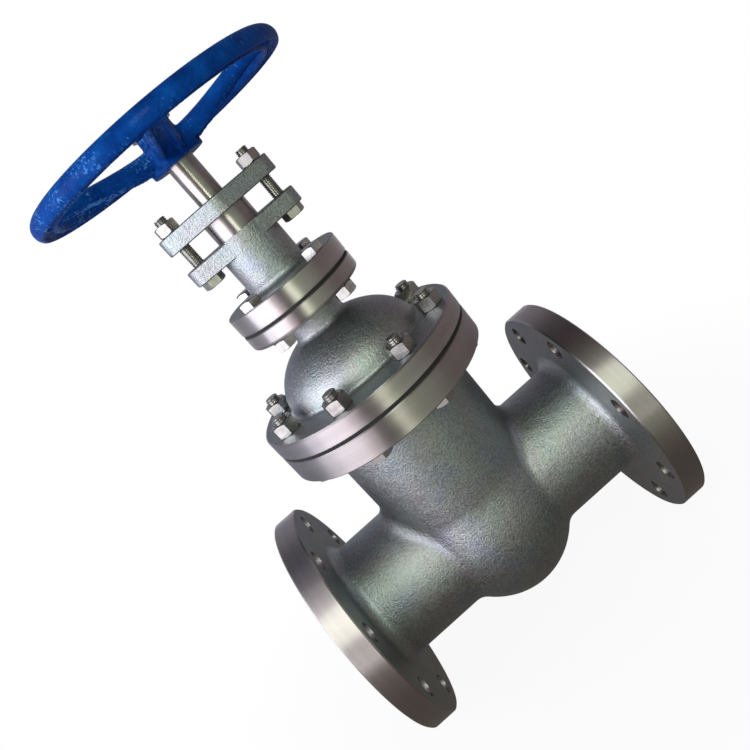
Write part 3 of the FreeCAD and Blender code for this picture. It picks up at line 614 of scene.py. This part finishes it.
def finish_piece(bm, node, materials):
    """Turns a bmesh into the piece that stands for a CAD node and rides with its body."""
    mark_sharp(bm)
    mesh = bpy.data.meshes.new(f"{node}_dressed")
    bm.to_mesh(mesh)
    bm.free()
    for material in materials:
        mesh.materials.append(material)
    piece = bpy.data.objects.new(f"{node}_dressed", mesh)
    bpy.context.scene.collection.objects.link(piece)
    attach(piece, BODY_OF[node])
    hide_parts(node)
    return piece


def clean_spun(bm):
    """Closes the seams and poles of spun shapes and points their faces outwards."""
    bmesh.ops.remove_doubles(bm, verts=bm.verts, dist=JOIN_DISTANCE)
    bmesh.ops.dissolve_degenerate(bm, edges=bm.edges, dist=JOIN_DISTANCE)
    bmesh.ops.recalc_face_normals(bm, faces=bm.faces)


def spin_outline(bm, outline, steps=ROUND_STEPS):
    """Spins (radius, height) points about the stem axis. Returns the new vertices."""
    old = set(bm.verts)
    verts = [bm.verts.new((radius, 0.0, height)) for radius, height in outline]
    edges = [bm.edges.new(pair) for pair in zip(verts, verts[1:])]
    bmesh.ops.spin(
        bm, geom=verts + edges, cent=(0, 0, 0), axis=(0, 0, 1), angle=FULL_TURN,
        steps=steps, use_merge=True,
    )
    return [vert for vert in bm.verts if vert not in old]


def with_edges(faces):
    """Faces with their edges and corners, each once, as a cut takes them."""
    parts = dict.fromkeys(faces)
    for face in faces:
        parts.update(dict.fromkeys([*face.edges, *face.verts]))
    return list(parts)


def set_radius(vert, radius):
    """Moves a vertex straight out from the stem axis or in to it."""
    share = radius / math.hypot(vert.co.x, vert.co.y)
    vert.co.x *= share
    vert.co.y *= share


# Fasteners

Fastener = namedtuple("Fastener", "radius pitch flat head_height")
M10 = Fastener(5.0 * MM, 1.5 * MM, 8.0 * MM, 6.4 * MM)
M12 = Fastener(6.0 * MM, 1.75 * MM, 9.0 * MM, 7.5 * MM)
M14 = Fastener(7.0 * MM, 2.0 * MM, 10.5 * MM, 8.8 * MM)

FACE_SHARE = 0.95           # round face of a nut or head, as a share of its flats
CORNER_SLOPE = math.tan(math.radians(30))
DISH_SHARE = 0.7            # of a head's round face
DISH_DEPTH = 0.35 * MM
MOUTH_WIDTH = 0.45          # of the pitch, as are the next three
MOUTH_DEPTH = 0.5
THREAD_DEPTH = 0.55
CONE_HEIGHT = 0.9
THREAD_STEPS = 24
ROD_STEPS = 48
ROD_RELIEF = 0.1 * MM       # how far the plain rod lies inside the thread's crests
THREAD_LENGTH = 15 * MM
GLAND_THREAD_LENGTH = 46 * MM

NUT_TURN = math.radians(9)              # how the spanner left them, off a corner to the front
TURN_SLACK = math.radians(4)            # the most that any fastener is off its turn
SLACK_STEP, SLACK_START = 2.4, 0.8      # radians, of the sine that spreads the slack
GLAND_HEAD_TURN = math.radians(30)      # a flat to the front


def bolt_places(count, radius):
    """Places on a circle about the stem, half a step off the X axis."""
    places = []
    for index in range(count):
        angle = FULL_TURN * (index + 0.5) / count
        places.append((radius * math.cos(angle), radius * math.sin(angle)))
    return places


COVER_BOLTS = bolt_places(8, 78.0 * MM)
TOP_BOLTS = bolt_places(4, 41.0 * MM)
GLAND_BOLTS = [(-39.2 * MM, 0.0), (39.2 * MM, 0.0)]


def press_hexagon(verts, flat, low, high, chamfer_low):
    """Presses a round blank's wall to six flats, a corner to the front, and breaks its
    corners at 30 degrees."""
    face_radius = FACE_SHARE * flat
    for vert in verts:
        if math.hypot(vert.co.x, vert.co.y) < face_radius + JOIN_DISTANCE:
            continue
        angle = math.atan2(vert.co.y, vert.co.x)
        off_middle = (angle + HEX_STEP / 2) % HEX_STEP - HEX_STEP / 2
        wall = flat / math.cos(off_middle)
        set_radius(vert, wall)
        drop = (wall - face_radius) * CORNER_SLOPE
        if vert.co.z > (low + high) / 2:
            vert.co.z = high - drop
        elif chamfer_low:
            vert.co.z = low + drop


def hex_nut(bm, size, low, high):
    face, mouth = FACE_SHARE * size.flat, size.radius + MOUTH_WIDTH * size.pitch
    sink = MOUTH_DEPTH * size.pitch
    outline = [
        (size.radius, low + sink), (mouth, low), (face, low), (size.flat, low),
        (size.flat, high), (face, high), (mouth, high), (size.radius, high - sink),
        (size.radius, low + sink),
    ]
    press_hexagon(spin_outline(bm, outline), size.flat, low, high, True)


def hex_head(bm, size, low, high):
    """A bolt head whose chamfered face is up and whose bearing face is below."""
    face = FACE_SHARE * size.flat
    outline = [
        (0.0, low), (size.flat, low), (size.flat, high), (face, high),
        (DISH_SHARE * face, high - DISH_DEPTH), (0.0, high - DISH_DEPTH),
    ]
    press_hexagon(spin_outline(bm, outline), size.flat, low, high, False)


def threaded_end(bm, size, low, high):
    """A rolled thread of one crest and one root a pitch, cut flat below and coned on top.
    It is spun with a spare turn at each end for the cuts."""
    turns = math.ceil((high - low) / size.pitch) + 2
    root = size.radius - THREAD_DEPTH * size.pitch
    foot = low - size.pitch
    profile = [
        (size.radius, foot), (root, foot + size.pitch / 2), (size.radius, foot + size.pitch)
    ]
    verts = [bm.verts.new((radius, 0.0, height)) for radius, height in profile]
    edges = [bm.edges.new(pair) for pair in zip(verts, verts[1:])]
    old = set(bm.faces)
    bmesh.ops.spin(
        bm, geom=verts + edges, cent=(0, 0, 0), axis=(0, 0, 1), angle=FULL_TURN * turns,
        dvec=(0, 0, size.pitch / THREAD_STEPS), steps=THREAD_STEPS * turns,
    )
    for height, way in ((low, -1), (high, 1)):
        corners = dict.fromkeys(v for face in bm.faces if face not in old for v in face.verts)
        bmesh.ops.remove_doubles(bm, verts=list(corners), dist=JOIN_DISTANCE)
        thread = [face for face in bm.faces if face not in old]
        cut = bmesh.ops.bisect_plane(
            bm, geom=with_edges(thread), plane_co=(0, 0, height), plane_no=(0, 0, way),
            clear_outer=True,
        )["geom_cut"]
        rim = [item for item in cut if isinstance(item, bmesh.types.BMEdge)]
        bmesh.ops.contextual_create(bm, geom=rim)
    for vert in {v for face in bm.faces if face not in old for v in face.verts}:
        below_top = high - vert.co.z
        limit = root + max(below_top, 0.0)
        if below_top < CONE_HEIGHT * size.pitch and math.hypot(vert.co.x, vert.co.y) > limit:
            set_radius(vert, limit)


def flip(bm, twice_middle):
    """Turns a shape upside down about its middle height."""
    bmesh.ops.transform(bm, verts=bm.verts, matrix=Matrix.Rotation(math.pi, 4, "X"))
    bmesh.ops.translate(bm, verts=bm.verts, vec=(0, 0, twice_middle))


def set_out(node, places, turn, one):
    """The same fastener at every place, each left turned a little differently."""
    clean_spun(one)
    pattern = bpy.data.meshes.new(f"{node}_pattern")
    one.to_mesh(pattern)
    one.free()
    bm = bmesh.new()
    for index, (x, y) in enumerate(places):
        old = set(bm.verts)
        bm.from_mesh(pattern)
        new = [vert for vert in bm.verts if vert not in old]
        slack = TURN_SLACK * math.sin(SLACK_STEP * index + SLACK_START)
        spun = Matrix.Rotation(turn + slack, 4, "Z")
        bmesh.ops.transform(bm, verts=new, matrix=Matrix.Translation((x, y, 0.0)) @ spun)
    bpy.data.meshes.remove(pattern)
    finish_piece(bm, node, [FASTENER])


def bolts(node, places, size, head_up, turn=0.0, thread=THREAD_LENGTH):
    """Hexagon bolts that fill the node's height, drawn head down and flipped if it is up."""
    low, high = (corner.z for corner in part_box(node))
    rod_radius, rod_low = size.radius - ROD_RELIEF, low + size.head_height
    rod = [(0.0, rod_low), (rod_radius, rod_low), (rod_radius, high - thread), (0.0, high - thread)]
    bm = bmesh.new()
    hex_head(bm, size, high - size.head_height, high)
    flip(bm, low + high)
    spin_outline(bm, rod, ROD_STEPS)
    threaded_end(bm, size, high - thread, high)
    if head_up:
        flip(bm, low + high)
    set_out(node, places, turn, bm)


def nuts(node, places, size, turn=0.0):
    low, high = (corner.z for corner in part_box(node))
    bm = bmesh.new()
    hex_nut(bm, size, low, high)
    set_out(node, places, turn, bm)


# Castings and turned pieces

def dress(node, materials, pick=None, reshape=None):
    """A copy of a CAD node with its loose triangles joined, so that its round faces shade
    round, and with a finish for each face."""
    bm = bmesh.new()
    bm.from_mesh(frame["nodes"][node].data)
    bmesh.ops.remove_doubles(bm, verts=bm.verts, dist=JOIN_DISTANCE)
    if reshape:
        reshape(bm)
    for face in bm.faces:
        face.material_index = pick(face.calc_center_median(), face.normal) if pick else 0
    piece = finish_piece(bm, node, materials)
    weighted = piece.modifiers.new("flat_faces_lead", "WEIGHTED_NORMAL")
    weighted.keep_sharp = True
    return piece


CASTING = [CAST, TURNED_PIPE, TURNED_STEM]
AS_CAST, ABOUT_PIPE, ABOUT_STEM = range(3)      # their places in that list

END_FLANGE_BACK = 126 * MM
BORE_SKIN = 50.3 * MM
BARREL_SKIN = 80.0 * MM
BODY_FLANGE_LOW = 137.5 * MM
COVER_NUT_SEAT = 177.5 * MM
COVER_RIM = 92.0 * MM
TOP_FLANGE_LOW = 235.5 * MM
TOP_FLANGE_RIM = 50.5 * MM
BOX_FLANGE_TOP = 266.5 * MM
BOX_SKIN = 25.52 * MM
EAR_PLATE_LOW = 298 * MM
EAR_PROUD = 0.7 * MM
EAR_CORNER = 9 * MM
GLAND_PLATE_LOW = 328 * MM
NEAR = 0.05 * MM
FLAT_UP = 0.9               # a face whose normal rises more than this lies flat


def flange_finish(centre, normal, inside):
    """A round flange's rim is turned and its faces are as cast."""
    outside = math.hypot(centre.x, centre.y) > inside
    return ABOUT_STEM if outside and abs(normal.z) < FLAT_UP else AS_CAST


def body_finish(centre, normal):
    """The pipe flanges, the bores and the cover's rim are turned. The rest is as cast."""
    if math.hypot(centre.y, centre.z) < BORE_SKIN and centre.z < BORE_SKIN:
        return ABOUT_PIPE
    if abs(centre.x) > END_FLANGE_BACK + NEAR:
        return ABOUT_PIPE
    return flange_finish(centre, normal, BARREL_SKIN) if centre.z > BODY_FLANGE_LOW else AS_CAST


def bonnet_finish(centre, normal):
    if centre.z < COVER_NUT_SEAT + NEAR:
        return flange_finish(centre, normal, COVER_RIM)
    if centre.z > TOP_FLANGE_LOW - NEAR:
        return flange_finish(centre, normal, TOP_FLANGE_RIM)
    return AS_CAST


def box_finish(centre, normal):
    if centre.z > BOX_FLANGE_TOP + NEAR:
        return AS_CAST
    return flange_finish(centre, normal, TOP_FLANGE_RIM)


def gland_finish(centre, normal):
    return ABOUT_STEM if centre.z < GLAND_PLATE_LOW - NEAR else AS_CAST


def dress_ears_flush(bm):
    """The ears' front corners are filed down to the round neck."""
    for vert in bm.verts:
        proud = BOX_SKIN < math.hypot(vert.co.x, vert.co.y) < BOX_SKIN + EAR_PROUD
        if proud and vert.co.z > EAR_PLATE_LOW and abs(vert.co.x) < EAR_CORNER:
            set_radius(vert, BOX_SKIN)


BARREL_RADIUS = 65.0 * MM
BOWL_RADIUS, BOWL_DEPTH = 71.0 * MM, 83.0 * MM
WAIST_FILL = 5.0 * MM       # how far apart barrel and bowl may be and still run together
WAIST_CUTS = [35.5 * MM + 1.5 * MM * step for step in range(1, 7)]
WAIST_LOW, WAIST_HIGH = 13.0 * MM, 46.0 * MM
WAIST_SKIN = (64.5 * MM, 72.5 * MM)
WAIST_FADE = (38.0 * MM, 56.0 * MM)     # it ends at the crotches of the pipe stubs


def soften_waist(bm):
    """Runs the barrel into the bowl in one long hollow, without a line."""
    low, high = WAIST_SKIN
    faces = [
        face for face in bm.faces
        if all(low < math.hypot(vert.co.x, vert.co.y) < high for vert in face.verts)
        and max(vert.co.z for vert in face.verts) > WAIST_LOW
        and min(vert.co.z for vert in face.verts) < WAIST_HIGH
    ]
    for height in WAIST_CUTS:
        cut = bmesh.ops.bisect_plane(
            bm, geom=with_edges(faces), plane_co=(0, 0, height), plane_no=(0, 0, 1)
        )
        faces = [item for item in cut["geom"] if isinstance(item, bmesh.types.BMFace)]
    faces = bmesh.ops.triangulate(bm, faces=faces)["faces"]
    near, far = WAIST_FADE
    for vert in {vert for face in faces for vert in face.verts}:
        if not WAIST_LOW < vert.co.z < WAIST_HIGH:
            continue
        bowl = BOWL_RADIUS * math.sqrt(1 - (vert.co.z / BOWL_DEPTH) ** 2)
        overlap = max(WAIST_FILL - abs(bowl - BARREL_RADIUS), 0.0)
        wanted = max(bowl, BARREL_RADIUS) + overlap ** 2 / (4 * WAIST_FILL)
        share = min(max((far - abs(vert.co.x)) / (far - near), 0.0), 1.0)
        reach = math.hypot(vert.co.x, vert.co.y)
        set_radius(vert, reach + share * max(wanted - reach, 0.0))


# Handwheel

RIM_HALF_WIDTH = 8.3 * MM
RIM_HALF_HEIGHT = 8.3 * MM
RIM_HEIGHT = 396.0 * MM
RIM_MIDDLE = RIM_OUTER - RIM_HALF_WIDTH
RIM_STEPS = 144
HUB_LOW, HUB_HIGH = 374.0 * MM, 402.0 * MM
HUB_RADIUS = 22.5 * MM
HUB_LIP = 1.5 * MM
HUB_SHOULDER = 392.5 * MM
BOSS_RADIUS = 14.5 * MM
STEM_RADIUS = 11.0 * MM
SPOKE_COUNT = 5
SPOKE_AZIMUTH = math.radians(-88)
SPOKE_START = 0.7 * HUB_RADIUS
SPOKE_ROOT_HEIGHT = HUB_LOW + 11.0 * MM
SPOKE_ROOT = (11.0 * MM, 8.5 * MM)      # half width and half height at the hub
SPOKE_TIP = (8.8 * MM, 5.8 * MM)        # and at the rim
SPOKE_SECTIONS = 9
OVAL_STEPS = 32
HOLLOW_SHARE = 0.50         # of the half width
HOLLOW_ROOF = -0.15         # of the half height, as is the next
FLAT_BELOW = -0.78
WHEEL_VOXEL = 1.1 * MM
SMOOTH_ROUNDS, SMOOTH_SHARE = 5, 0.5


def hollow_loop(bm, half_width, half_height):
    """An upright oval in the YZ plane, cut flat below and hollowed from there."""
    ring = bmesh.ops.create_circle(bm, segments=OVAL_STEPS, radius=1.0)["verts"]
    stand = Matrix.Rotation(math.pi / 2, 4, "Y")
    bmesh.ops.transform(bm, verts=ring, matrix=stand)
    for vert in ring:
        if vert.co.z < 0 and abs(vert.co.y) < HOLLOW_SHARE:
            vert.co.z = HOLLOW_ROOF
        vert.co.z = max(vert.co.z, FLAT_BELOW)
    size = Matrix.Diagonal((1.0, half_width, half_height, 1.0))
    bmesh.ops.transform(bm, verts=ring, matrix=size)
    return ring, list(dict.fromkeys(edge for vert in ring for edge in vert.link_edges))


def add_spoke(bm, azimuth):
    """A spoke that leaves the hub low and sweeps up into the rim."""
    loops = []
    for index in range(SPOKE_SECTIONS):
        share = index / (SPOKE_SECTIONS - 1)
        ease = (1 - math.cos(math.pi * share)) / 2
        half_width, half_height = (
            root + ease * (tip - root) for root, tip in zip(SPOKE_ROOT, SPOKE_TIP)
        )
        ring, edges = hollow_loop(bm, half_width, half_height)
        reach = SPOKE_START + share * (RIM_MIDDLE - SPOKE_START)
        height = SPOKE_ROOT_HEIGHT + ease * (RIM_HEIGHT - SPOKE_ROOT_HEIGHT)
        bmesh.ops.translate(bm, verts=ring, vec=(reach, 0, height))
        bmesh.ops.rotate(
            bm, verts=ring, cent=(0, 0, 0), matrix=Matrix.Rotation(azimuth, 3, "Z")
        )
        loops.append(edges)
    for first, second in zip(loops, loops[1:]):
        bmesh.ops.bridge_loops(bm, edges=first + second)
    for end in (loops[0], loops[-1]):
        bmesh.ops.contextual_create(bm, geom=end)


def add_rim(bm):
    ring, edges = hollow_loop(bm, RIM_HALF_WIDTH, RIM_HALF_HEIGHT)
    lay = Matrix.Translation((RIM_MIDDLE, 0, RIM_HEIGHT)) @ Matrix.Rotation(math.pi / 2, 4, "Z")
    bmesh.ops.transform(bm, verts=ring, matrix=lay)
    bmesh.ops.spin(
        bm, geom=ring + edges, cent=(0, 0, 0), axis=(0, 0, 1), angle=FULL_TURN,
        steps=RIM_STEPS, use_merge=True,
    )


def add_hub(bm):
    """The hub, with a lip below and a narrower boss on top under the washer."""
    waist = HUB_RADIUS - HUB_LIP
    spin_outline(bm, [
        (STEM_RADIUS, HUB_LOW), (HUB_RADIUS, HUB_LOW),
        (HUB_RADIUS, HUB_LOW + 2 * HUB_LIP), (waist, HUB_LOW + 3 * HUB_LIP),
        (waist, HUB_SHOULDER), (BOSS_RADIUS, HUB_SHOULDER + HUB_LIP), (BOSS_RADIUS, HUB_HIGH),
        (STEM_RADIUS, HUB_HIGH), (STEM_RADIUS, HUB_LOW),
    ])


def handwheel():
    """Rim, spokes and hub run into each other as one casting, with its edges softened."""
    bm = bmesh.new()
    add_rim(bm)
    add_hub(bm)
    for index in range(SPOKE_COUNT):
        add_spoke(bm, SPOKE_AZIMUTH + FULL_TURN * index / SPOKE_COUNT)
    clean_spun(bm)
    rough = bpy.data.meshes.new("handwheel_rough")
    bm.to_mesh(rough)
    bm.free()
    carrier = bpy.data.objects.new("handwheel_rough", rough)
    bpy.context.scene.collection.objects.link(carrier)
    joined = carrier.modifiers.new("one_casting", "REMESH")
    joined.mode = "VOXEL"
    joined.voxel_size = WHEEL_VOXEL
    graph = bpy.context.evaluated_depsgraph_get()
    casting = bpy.data.meshes.new_from_object(carrier.evaluated_get(graph))
    bpy.data.objects.remove(carrier)
    bm = bmesh.new()
    bm.from_mesh(casting)
    for _ in range(SMOOTH_ROUNDS):
        bmesh.ops.smooth_vert(
            bm, verts=bm.verts, factor=SMOOTH_SHARE,
            use_axis_x=True, use_axis_y=True, use_axis_z=True,
        )
    finish_piece(bm, "handwheel", [ENAMEL])


# The valve

make_camera()
make_studio()

dress("valve_body", CASTING, body_finish, soften_waist)
dress("bonnet", CASTING, bonnet_finish)
dress("stuffing_box", CASTING, box_finish, dress_ears_flush)
dress("gland_follower", CASTING, gland_finish)
for seal in ("gate_wedge", "seat_ring_inlet", "seat_ring_outlet"):
    dress(seal, [TURNED_PIPE])
for shaft in ("stem", "handwheel_washer", "handwheel_key"):
    dress(shaft, [GROUND])
for bearing in ("stem_nut", "bonnet_bush", "thrust_washer_lower", "thrust_washer_upper"):
    dress(bearing, [BRONZE])
for sheet in ("bonnet_gasket", "stuffing_box_gasket"):
    dress(sheet, [GASKET])

# The packing gets a mesh of its own.
packing = dress("packing_rings", [PACKING])
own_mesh(packing)

bolts("bonnet_bolts", COVER_BOLTS, M12, head_up=False)
nuts("bonnet_nuts", COVER_BOLTS, M12, NUT_TURN)
bolts("stuffing_box_bolts", TOP_BOLTS, M10, head_up=True)
nuts("stuffing_box_nuts", TOP_BOLTS, M10)
bolts("gland_bolts", GLAND_BOLTS, M10, False, GLAND_HEAD_TURN, GLAND_THREAD_LENGTH)
nuts("gland_nuts", GLAND_BOLTS, M10, NUT_TURN)
nuts("handwheel_nut", [(0.0, 0.0)], M14)
handwheel()

bpy.context.scene.view_settings.view_transform = "Standard"
